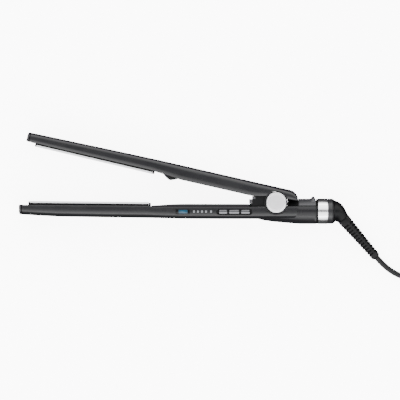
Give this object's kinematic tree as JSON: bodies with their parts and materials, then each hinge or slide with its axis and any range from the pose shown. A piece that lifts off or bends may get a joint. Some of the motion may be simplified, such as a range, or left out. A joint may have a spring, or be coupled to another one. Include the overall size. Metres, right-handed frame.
{
  "type": "hair straightener",
  "caption": "Long-plate hair straightener, open on its side, with a rear pivot, side controls, sliding lock, swivel cord outlet and coiled cord.",
  "frame": {"origin": "on the pivot axis, at the flat resting face of the rear pivot cap; the object lies on its side on the plane z = 0", "axes": "+X along the lower arm towards the cord, +Y from the lower arm towards the upper arm, +Z along the pivot, up from the table"},
  "size_m": [0.52, 0.1707, 0.03],
  "materials": {
    "case": "satin moulded charcoal plastic",
    "cover": "satin moulded plastic",
    "plate_coating": "ceramic coated aluminium, satin",
    "heat_plastic": "black heat resistant plastic",
    "ceramic": "bare heater ceramic",
    "spring_steel": "spring steel",
    "steel": "plain steel",
    "brushed_cap": "turned aluminium with a bright rim",
    "hinge_plastic": "black plastic",
    "dark_plastic": "black plastic",
    "slider": "fine textured grey plastic",
    "polished_metal": "polished metal",
    "collar": "dark grey plastic",
    "brass": "contact brass",
    "nickel": "nickel plated",
    "outlet_rubber": "black rubber",
    "relief_rubber": "black ribbed rubber",
    "bumper_rubber": "soft black rubber",
    "display": "blue lit window",
    "indicator": "grey light pipe",
    "button": "silver grey",
    "board": "green laminate",
    "wire": "insulated wire",
    "cord": "black cord jacket",
    "tie": "hook and loop strap",
    "plug": "moulded black plastic"
  },
  "bodies": {
    "root": {"lower_case": "case", "lower_tip_cap": "case", "barrel": "case", "lower_inner_cover": "cover", "lower_plate_carrier": "heat_plastic", "lower_leaf_spring": "spring_steel", "torsion_spring": "spring_steel", "lower_thermal_fuse": "steel", "hinge_pin": "steel", "lower_screw_front": "steel", "lower_screw_rear": "steel", "pivot_cap_front": "brushed_cap", "pivot_cap_rear": "brushed_cap", "hinge_core": "hinge_plastic", "lock_track": "dark_plastic", "seam_ring": "dark_plastic", "swivel_bush": "dark_plastic", "button_frame": "dark_plastic", "display_module": "dark_plastic", "switch_pad": "dark_plastic", "polished_ring": "polished_metal", "rear_collar": "collar", "contact_brushes": "brass", "plug_pin_left": "nickel", "plug_pin_right": "nickel", "display_lens": "display", "indicator_bar": "indicator", "circuit_board": "board", "mains_lead_left": "wire", "mains_lead_right": "wire", "lower_heater_lead": "wire", "cord_lead": "cord", "cord_coil": "cord", "cord_tail": "cord", "cord_tie": "tie", "plug_body": "plug"},
    "upper_arm": {"upper_case": "case", "upper_tip_cap": "case", "upper_inner_cover": "cover", "upper_plate_carrier": "heat_plastic", "upper_leaf_spring": "spring_steel", "upper_thermal_fuse": "steel", "upper_screw_front": "steel", "upper_screw_rear": "steel", "upper_bumper": "bumper_rubber", "upper_heater_lead": "wire"},
    "upper_float": {"upper_plate": "plate_coating", "upper_heater": "ceramic"},
    "lower_float": {"lower_plate": "plate_coating", "lower_heater": "ceramic"},
    "slider": {"lock_slider": "slider"},
    "power_key": {"button_power": "button"},
    "up_key": {"button_up": "button"},
    "down_key": {"button_down": "button"},
    "outlet": {"cord_elbow": "outlet_rubber", "strain_relief": "relief_rubber", "swivel_spindle": "dark_plastic", "slip_ring_front": "brass", "slip_ring_rear": "brass"}
  },
  "joints": [
    {"name": "arm_hinge", "type": "hinge", "parent": "root", "child": "upper_arm", "pos_m": [0, 0, 0.015], "axis": [0, 0, 1], "range_deg": [0, 12.6], "stiffness_Nm_per_rad": 0.15, "deforming": ["torsion_spring"]},
    {"name": "upper_plate_float", "type": "slide", "parent": "upper_arm", "child": "upper_float", "axis": [0.2279, 0.9737, 0], "range_m": [0, 0.0006], "stiffness_N_per_m": 1200},
    {"name": "lower_plate_float", "type": "slide", "parent": "root", "child": "lower_float", "axis": [-0.01, -0.9999, 0], "range_m": [0, 0.0006], "stiffness_N_per_m": 1200},
    {"name": "lock_slide", "type": "slide", "parent": "root", "child": "slider", "axis": [-1, 0, 0], "range_m": [0, 0.0045]},
    {"name": "power_press", "type": "slide", "parent": "root", "child": "power_key", "axis": [0, 0, -1], "range_m": [0, 0.0005], "stiffness_N_per_m": 600},
    {"name": "up_press", "type": "slide", "parent": "root", "child": "up_key", "axis": [0, 0, -1], "range_m": [0, 0.0005], "stiffness_N_per_m": 600},
    {"name": "down_press", "type": "slide", "parent": "root", "child": "down_key", "axis": [0, 0, -1], "range_m": [0, 0.0005], "stiffness_N_per_m": 600},
    {"name": "cord_swivel", "type": "hinge", "parent": "root", "child": "outlet", "pos_m": [0.06, -0.00875, 0.015], "axis": [-1, 0, 0], "continuous": true}
  ]
}
